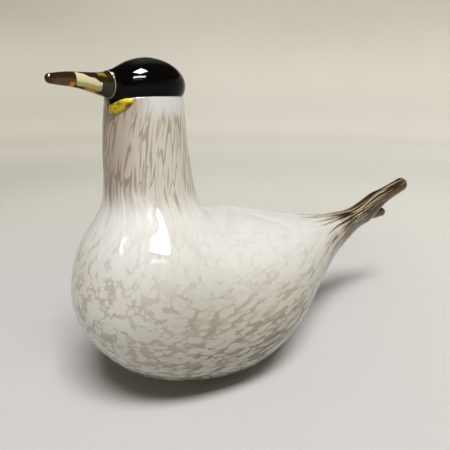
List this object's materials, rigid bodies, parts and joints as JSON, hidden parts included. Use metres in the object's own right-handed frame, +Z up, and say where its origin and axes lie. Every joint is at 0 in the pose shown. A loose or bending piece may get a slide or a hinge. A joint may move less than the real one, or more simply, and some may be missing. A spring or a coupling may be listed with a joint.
{
  "type": "glass bird figurine",
  "caption": "Blown-glass seabird standing on its rounded belly, with a speckled white body, tall neck, black head cap, amber beak and forked tail.",
  "frame": {"origin": "centre of the small flat ground on the underside, on the floor under the bird", "axes": "+X towards the tail, the beak towards -X turned slightly to -Y, -Y the bird's left, +Z up"},
  "size_m": [0.2774, 0.1046, 0.1853],
  "materials": {
    "opal_glass": "glossy opal white with grey-taupe flecks",
    "black_glass": "glossy opaque black",
    "amber_glass": "clear smoky amber",
    "yellow_glass": "glossy golden yellow"
  },
  "bodies": {
    "root": {"body": "opal_glass", "head_cap": "black_glass", "beak": "amber_glass", "throat_drop": "yellow_glass"}
  },
  "joints": []
}
